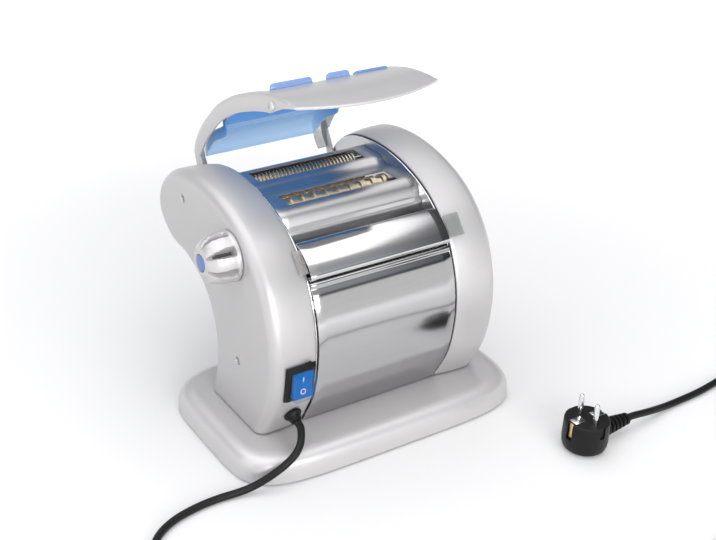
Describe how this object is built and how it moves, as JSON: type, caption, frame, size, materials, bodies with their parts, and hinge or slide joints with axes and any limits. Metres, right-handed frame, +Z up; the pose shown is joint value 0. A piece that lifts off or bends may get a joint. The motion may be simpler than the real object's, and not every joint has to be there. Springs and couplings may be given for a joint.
{
  "type": "electric pasta maker",
  "caption": "Electric pasta maker: silver body on a base, rollers and two cutter pairs, opening clear blue lid, thickness knob, rocker switch, mains cord with an angled plug.",
  "frame": {"origin": "under the middle of the whole outline (base and open lid), on the surface that the feet stand on", "axes": "+X to the right along the rollers, seen from the front; +Y to the rear; +Z up"},
  "size_m": [0.6696, 0.543, 0.3399],
  "materials": {
    "silver_paint": "satin silver paint on plastic",
    "polished_steel": "polished stainless steel",
    "machined_steel": "machined steel",
    "straw_steel": "warm straw tint",
    "black_plastic": "satin",
    "black_rubber": "matt",
    "white_nylon": "satin",
    "clear_blue": "clear tinted plastic",
    "switch_blue": "glossy, lit from inside",
    "clear_plastic": "clear plastic",
    "motor_can": "plain metal",
    "brass": "plain",
    "nickel": "nickel plated"
  },
  "bodies": {
    "housing": {"base_cover": "black_plastic", "base_shell": "silver_paint", "cord": "black_plastic", "cord_gland": "black_plastic", "fine_comb": "machined_steel", "foot_1": "black_rubber", "foot_2": "black_rubber", "foot_3": "black_rubber", "foot_4": "black_rubber", "front_panel": "polished_steel", "front_tie_rod": "machined_steel", "gear_bracket": "machined_steel", "gearbox": "motor_can", "guide_plate": "polished_steel", "left_casing": "silver_paint", "left_hinge_pin": "machined_steel", "left_side_plate": "machined_steel", "motor": "motor_can", "plug_body": "black_plastic", "plug_earth_clip_1": "brass", "plug_earth_clip_2": "brass", "plug_pin_front": "nickel", "plug_pin_rear": "nickel", "plug_relief": "black_plastic", "rear_chute": "polished_steel", "rear_tie_rod": "machined_steel", "right_casing": "silver_paint", "right_hinge_pin": "machined_steel", "right_side_plate": "machined_steel", "roller_scraper": "machined_steel", "switch_bezel": "black_plastic", "switch_cover": "clear_plastic", "top_cover": "polished_steel", "wide_comb": "machined_steel"},
    "lid": {"lid_frame": "silver_paint", "lid_window": "clear_blue"},
    "front_roller": {"front_roller": "polished_steel", "front_roller_gear": "machined_steel"},
    "roller_carrier": {"left_slide_block": "machined_steel", "right_slide_block": "machined_steel"},
    "rear_roller": {"rear_roller": "polished_steel", "rear_roller_gear": "machined_steel"},
    "wide_front_cutter": {"wide_front_cutter": "straw_steel", "wide_front_gear": "machined_steel"},
    "wide_rear_cutter": {"wide_rear_cutter": "straw_steel", "wide_rear_gear": "machined_steel"},
    "fine_front_cutter": {"fine_front_cutter": "straw_steel", "fine_front_gear": "machined_steel"},
    "fine_rear_cutter": {"fine_rear_cutter": "straw_steel", "fine_rear_gear": "machined_steel"},
    "upper_idler": {"upper_idler_gear": "white_nylon"},
    "lower_idler": {"lower_idler_gear": "white_nylon"},
    "front_idler": {"front_idler_gear": "white_nylon"},
    "rear_idler": {"rear_idler_gear": "white_nylon"},
    "motor_pinion": {"motor_pinion": "machined_steel"},
    "thickness_knob": {"thickness_knob": "silver_paint", "adjuster_shaft": "machined_steel"},
    "knob_button": {"knob_button": "switch_blue"},
    "switch_rocker": {"switch_rocker": "switch_blue"}
  },
  "joints": [
    {"name": "front_roller_spin", "type": "hinge", "parent": "housing", "child": "front_roller", "pos_m": [0, -0.0737, 0.1745], "axis": [1, 0, 0], "continuous": true},
    {"name": "carrier_slide", "type": "slide", "parent": "housing", "child": "roller_carrier", "axis": [0, -0.9925, -0.1219], "range_m": [0, 0.00198]},
    {"name": "rear_roller_spin", "type": "hinge", "parent": "roller_carrier", "child": "rear_roller", "pos_m": [0, -0.04065, 0.17856], "axis": [1, 0, 0], "continuous": true},
    {"name": "upper_idler_spin", "type": "hinge", "parent": "housing", "child": "upper_idler", "pos_m": [0, -0.04333, 0.1919], "axis": [1, 0, 0], "continuous": true},
    {"name": "wide_front_cutter_spin", "type": "hinge", "parent": "housing", "child": "wide_front_cutter", "pos_m": [0, -0.0272, 0.216], "axis": [1, 0, 0], "continuous": true},
    {"name": "wide_rear_cutter_spin", "type": "hinge", "parent": "housing", "child": "wide_rear_cutter", "pos_m": [0, -0.0072, 0.216], "axis": [1, 0, 0], "continuous": true},
    {"name": "front_idler_spin", "type": "hinge", "parent": "housing", "child": "front_idler", "pos_m": [0, 0.00338, 0.20144], "axis": [1, 0, 0], "continuous": true},
    {"name": "rear_idler_spin", "type": "hinge", "parent": "housing", "child": "rear_idler", "pos_m": [0, 0.01926, 0.20341], "axis": [1, 0, 0], "continuous": true},
    {"name": "fine_front_cutter_spin", "type": "hinge", "parent": "housing", "child": "fine_front_cutter", "pos_m": [0, 0.0298, 0.218], "axis": [1, 0, 0], "continuous": true},
    {"name": "fine_rear_cutter_spin", "type": "hinge", "parent": "housing", "child": "fine_rear_cutter", "pos_m": [0, 0.0498, 0.218], "axis": [1, 0, 0], "continuous": true},
    {"name": "lower_idler_spin", "type": "hinge", "parent": "housing", "child": "lower_idler", "pos_m": [0, -0.04377, 0.13197], "axis": [1, 0, 0], "continuous": true},
    {"name": "motor_pinion_spin", "type": "hinge", "parent": "housing", "child": "motor_pinion", "pos_m": [0, -0.0422, 0.084], "axis": [1, 0, 0], "continuous": true},
    {"name": "knob_turn", "type": "hinge", "parent": "housing", "child": "thickness_knob", "pos_m": [-0.14, -0.0372, 0.198], "axis": [-1, 0, 0], "range_deg": [0, 300]},
    {"name": "knob_button_press", "type": "slide", "parent": "thickness_knob", "child": "knob_button", "axis": [1, 0, 0], "range_m": [0, 0.0015], "stiffness_N_per_m": 300, "springref_m": -0.001},
    {"name": "lid_hinge", "type": "hinge", "parent": "housing", "child": "lid", "pos_m": [0, 0.1108, 0.191], "axis": [1, 0, 0], "range_deg": [0, 36.5]},
    {"name": "rocker_tilt", "type": "hinge", "parent": "housing", "child": "switch_rocker", "pos_m": [-0.0995, -0.11446, 0.09484], "axis": [1, 0, 0], "range_deg": [0, 14]}
  ],
  "couplings": [
    {"joint": "rear_roller_spin", "follows": "front_roller_spin", "ratio": -1},
    {"joint": "upper_idler_spin", "follows": "front_roller_spin", "ratio": -0.8421},
    {"joint": "wide_front_cutter_spin", "follows": "front_roller_spin", "ratio": 1.6},
    {"joint": "wide_rear_cutter_spin", "follows": "front_roller_spin", "ratio": -1.6},
    {"joint": "front_idler_spin", "follows": "front_roller_spin", "ratio": 2},
    {"joint": "rear_idler_spin", "follows": "front_roller_spin", "ratio": -2},
    {"joint": "fine_front_cutter_spin", "follows": "front_roller_spin", "ratio": 1.6},
    {"joint": "fine_rear_cutter_spin", "follows": "front_roller_spin", "ratio": -1.6},
    {"joint": "lower_idler_spin", "follows": "front_roller_spin", "ratio": -0.44444},
    {"joint": "motor_pinion_spin", "follows": "front_roller_spin", "ratio": 1.3333},
    {"joint": "knob_turn", "follows": "carrier_slide", "rad_per_m": 2631.6}
  ]
}
